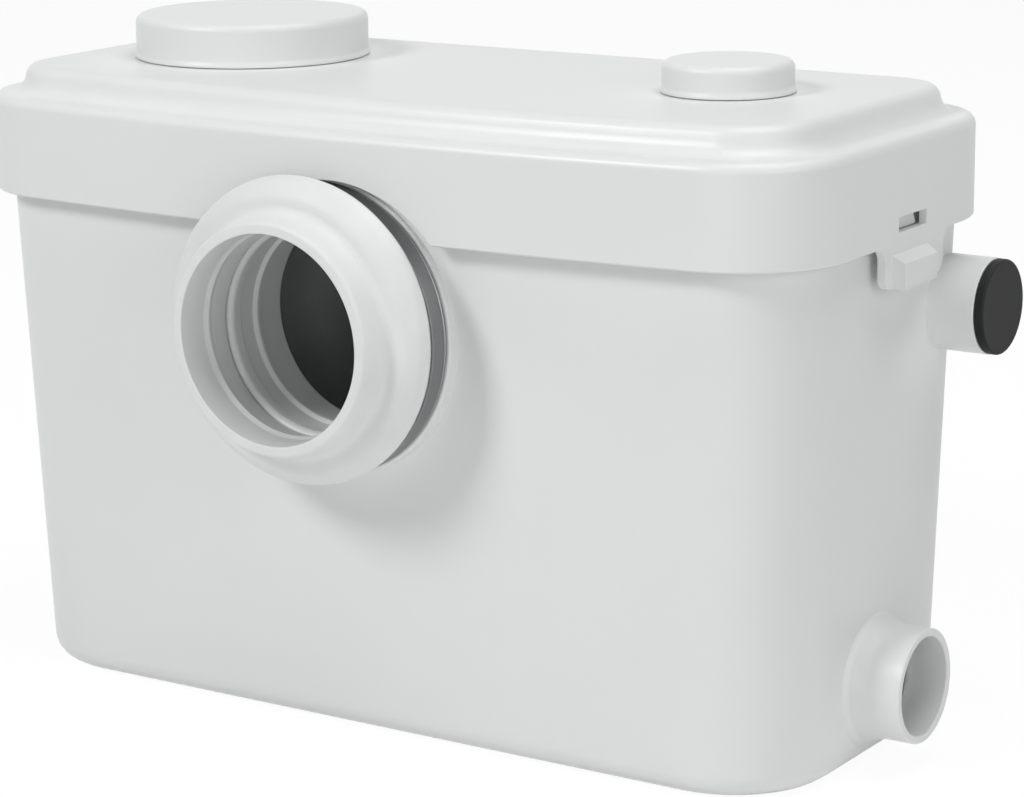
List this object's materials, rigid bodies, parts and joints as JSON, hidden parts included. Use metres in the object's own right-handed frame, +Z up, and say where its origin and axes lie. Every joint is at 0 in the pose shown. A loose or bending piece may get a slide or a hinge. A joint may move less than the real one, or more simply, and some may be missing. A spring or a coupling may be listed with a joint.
{
  "type": "macerator toilet pump",
  "caption": "Macerator toilet pump: drafted white tank with a lift-off clipped lid, pan sleeve, side inlet, plugged outlet, motor, cutter and pump inside.",
  "frame": {"origin": "middle of the tank's flat underside, on the floor", "axes": "+X to the two pipe spigots, -Y to the toilet pan, +Z up"},
  "size_m": [0.3967, 0.212, 0.2615],
  "materials": {
    "white_shell": "satin moulded plastic",
    "white_rubber": "soft white rubber",
    "black_plug": "black moulded plastic",
    "black_rubber": "black rubber",
    "band_steel": "rolled stainless strip",
    "grey_plastic": "grey moulded plastic",
    "pump_plastic": "glass-filled plastic",
    "cast_aluminium": "die cast",
    "bright_steel": "turned steel",
    "core_steel": "stacked laminations",
    "copper_winding": "enamelled copper wire",
    "charcoal": "carbon foam",
    "control_plastic": "black moulded plastic",
    "ivory_plastic": "ivory moulded plastic"
  },
  "bodies": {
    "base": {"tank": "white_shell", "pan_neck": "white_shell", "side_spigot": "white_shell", "outlet_spigot": "white_shell", "inlet_sleeve": "white_rubber", "band_clip": "band_steel", "band_clip_screw": "band_steel", "motor_deck": "grey_plastic", "vent_tube": "grey_plastic", "motor_housing": "cast_aluminium", "motor_end_cover": "cast_aluminium", "motor_screws": "bright_steel", "stator_core": "core_steel", "stator_winding": "copper_winding", "upper_bearing": "bright_steel", "lower_bearing": "bright_steel", "shaft_seal": "black_rubber", "macerator_basket": "grey_plastic", "volute": "pump_plastic", "volute_cover": "pump_plastic", "pump_screws": "bright_steel", "discharge_pipe": "grey_plastic", "valve_body": "grey_plastic", "outlet_elbow": "grey_plastic", "coupling_sleeves": "black_rubber", "coupling_clips": "band_steel", "side_valve_seat": "grey_plastic", "dip_tube": "grey_plastic", "pressure_switch": "control_plastic", "microswitch": "control_plastic", "run_capacitor": "ivory_plastic", "capacitor_clip": "grey_plastic", "terminal_block": "ivory_plastic"},
    "lid": {"lid": "white_shell", "lid_gasket": "black_rubber", "filter_holder": "white_shell", "carbon_filter": "charcoal", "lead_grommet": "black_rubber"},
    "motor_cap": {"motor_cap": "white_shell", "motor_cap_seal": "black_rubber"},
    "vent_cap": {"vent_cap": "white_shell"},
    "rotor": {"motor_shaft": "bright_steel", "rotor_core": "core_steel", "cutter": "bright_steel", "cutter_nut": "bright_steel", "impeller": "pump_plastic", "impeller_nut": "bright_steel"},
    "outlet_flap": {"outlet_flap": "black_rubber"},
    "side_flap": {"side_flap": "black_rubber"},
    "outlet_plug": {"outlet_plug": "black_plug"},
    "switch_plunger": {"switch_plunger": "ivory_plastic"}
  },
  "joints": [
    {"name": "lid_lift", "type": "slide", "parent": "base", "child": "lid", "axis": [0, 0, 1], "range_m": [0, 0.1]},
    {"name": "motor_cap_lift", "type": "slide", "parent": "lid", "child": "motor_cap", "axis": [0, 0, 1], "range_m": [0, 0.05]},
    {"name": "vent_cap_lift", "type": "slide", "parent": "lid", "child": "vent_cap", "axis": [0, 0, 1], "range_m": [0, 0.04]},
    {"name": "rotor_spin", "type": "hinge", "parent": "base", "child": "rotor", "pos_m": [-0.1055, 0.002, 0.1], "axis": [0, 0, 1], "continuous": true},
    {"name": "outlet_flap_swing", "type": "hinge", "parent": "base", "child": "outlet_flap", "pos_m": [0.10775, 0.048, 0.0851], "axis": [0, -1, 0], "range_deg": [0, 60]},
    {"name": "side_flap_swing", "type": "hinge", "parent": "base", "child": "side_flap", "pos_m": [0.16752, -0.0025, 0.0555], "axis": [0, 1, 0], "range_deg": [0, 60]},
    {"name": "plug_pull", "type": "slide", "parent": "base", "child": "outlet_plug", "axis": [1, 0, 0], "range_m": [0, 0.03]},
    {"name": "plunger_push", "type": "slide", "parent": "base", "child": "switch_plunger", "axis": [0, 0, 1], "range_m": [0, 0.0015], "stiffness_N_per_m": 300}
  ]
}
